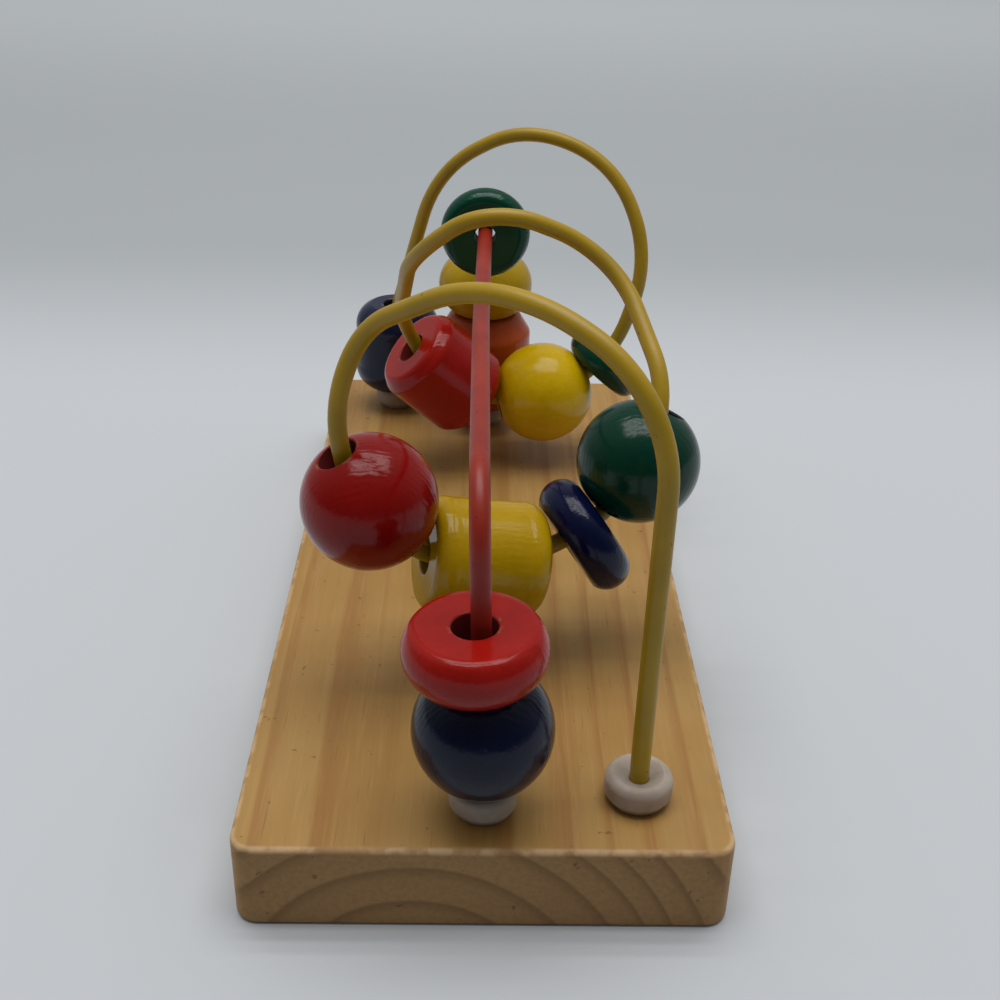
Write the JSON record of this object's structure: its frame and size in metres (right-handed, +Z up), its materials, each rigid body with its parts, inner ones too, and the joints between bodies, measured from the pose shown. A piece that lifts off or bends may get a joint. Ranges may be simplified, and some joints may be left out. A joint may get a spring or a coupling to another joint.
{
  "type": "bead maze",
  "caption": "Tabletop bead maze: a wooden board carries a low red wire hoop and a tall yellow wire that rolls over it, with painted wooden beads threaded on both.",
  "frame": {"origin": "middle of the board's underside", "axes": "+X to the right and +Y to the rear along the board, seen from the end with the low red hoop's blue ball; +Z up"},
  "size_m": [0.09, 0.2065, 0.1108],
  "materials": {
    "pine_board": "planed pine, clear satin lacquer",
    "white_collar": "satin, slightly translucent",
    "red_coat": "dipped, glossy",
    "yellow_coat": "dipped, glossy",
    "wire_steel": "bright drawn wire",
    "red_paint": "turned wood, glossy paint",
    "yellow_paint": "turned wood, glossy paint",
    "blue_paint": "turned wood, glossy paint",
    "green_paint": "turned wood, glossy paint"
  },
  "bodies": {
    "frame": {"base_board": "pine_board", "red_wire_front_collar": "white_collar", "red_wire_rear_collar": "white_collar", "yellow_wire_front_collar": "white_collar", "yellow_wire_rear_collar": "white_collar", "red_wire_core": "wire_steel", "red_wire_coat": "red_coat", "yellow_wire_core": "wire_steel", "yellow_wire_coat": "yellow_coat"},
    "blue_ball": {"blue_ball": "blue_paint"},
    "red_disc": {"red_disc": "red_paint"},
    "red_leg_barrel": {"red_leg_barrel": "red_paint"},
    "yellow_rounded_bead": {"yellow_rounded_bead": "yellow_paint"},
    "green_hanging_disc": {"green_hanging_disc": "green_paint"},
    "yellow_barrel": {"yellow_barrel": "yellow_paint"},
    "red_ball": {"red_ball": "red_paint"},
    "blue_ring": {"blue_ring": "blue_paint"},
    "green_ball": {"green_ball": "green_paint"},
    "yellow_ball": {"yellow_ball": "yellow_paint"},
    "green_disc": {"green_disc": "green_paint"},
    "red_loop_barrel": {"red_loop_barrel": "red_paint"},
    "blue_leg_barrel": {"blue_leg_barrel": "blue_paint"}
  },
  "joints": [
    {"name": "blue_ball_lift", "type": "slide", "parent": "frame", "child": "blue_ball", "axis": [-0.0276, -0.0074, 0.9996], "range_m": [0, 0.008]},
    {"name": "red_disc_lift", "type": "slide", "parent": "blue_ball", "child": "red_disc", "axis": [-0.0276, -0.0074, 0.9996], "range_m": [0, 0.006]},
    {"name": "red_leg_barrel_lift", "type": "slide", "parent": "frame", "child": "red_leg_barrel", "axis": [-0.0016, -0.0037, 1], "range_m": [0, 0.003]},
    {"name": "yellow_rounded_bead_lift", "type": "slide", "parent": "red_leg_barrel", "child": "yellow_rounded_bead", "axis": [-0.0016, -0.0037, 1], "range_m": [0, 0.003]},
    {"name": "green_hanging_disc_slide", "type": "slide", "parent": "frame", "child": "green_hanging_disc", "axis": [-0.0077, -1, 0.0062], "range_m": [0, 0.122]},
    {"name": "yellow_barrel_travel", "type": "hinge", "parent": "frame", "child": "yellow_barrel", "pos_m": [0.00378, -0.04285, 0.07463], "axis": [-0.3074, 0.9516, 0], "range_deg": [0, 12]},
    {"name": "red_ball_travel", "type": "hinge", "parent": "yellow_barrel", "child": "red_ball", "pos_m": [0.00378, -0.04285, 0.07463], "axis": [-0.3074, 0.9516, 0], "range_deg": [0, 14]},
    {"name": "blue_ring_travel", "type": "hinge", "parent": "frame", "child": "blue_ring", "pos_m": [0.00378, -0.04285, 0.07463], "axis": [-0.3074, 0.9516, 0], "range_deg": [-1.5, 0]},
    {"name": "green_ball_travel", "type": "hinge", "parent": "blue_ring", "child": "green_ball", "pos_m": [0.01633, 0.00705, 0.0631], "axis": [-0.3756, -0.9053, 0.1983], "range_deg": [0, 3.5]},
    {"name": "yellow_ball_travel", "type": "hinge", "parent": "frame", "child": "yellow_ball", "pos_m": [0.00873, 0.05084, 0.06611], "axis": [-0.1719, 0.9851, 0], "range_deg": [-25, 0]},
    {"name": "green_disc_travel", "type": "hinge", "parent": "yellow_ball", "child": "green_disc", "pos_m": [0.00873, 0.05084, 0.06611], "axis": [-0.1719, 0.9851, 0], "range_deg": [-12, 0]},
    {"name": "red_loop_barrel_travel", "type": "hinge", "parent": "frame", "child": "red_loop_barrel", "pos_m": [0.00873, 0.05084, 0.06611], "axis": [-0.1719, 0.9851, 0], "range_deg": [0, 8]},
    {"name": "blue_leg_barrel_lift", "type": "hinge", "parent": "frame", "child": "blue_leg_barrel", "pos_m": [0.04262, -0.01177, 0.03312], "axis": [0.2661, 0.9639, 0], "range_deg": [0, 6]}
  ]
}
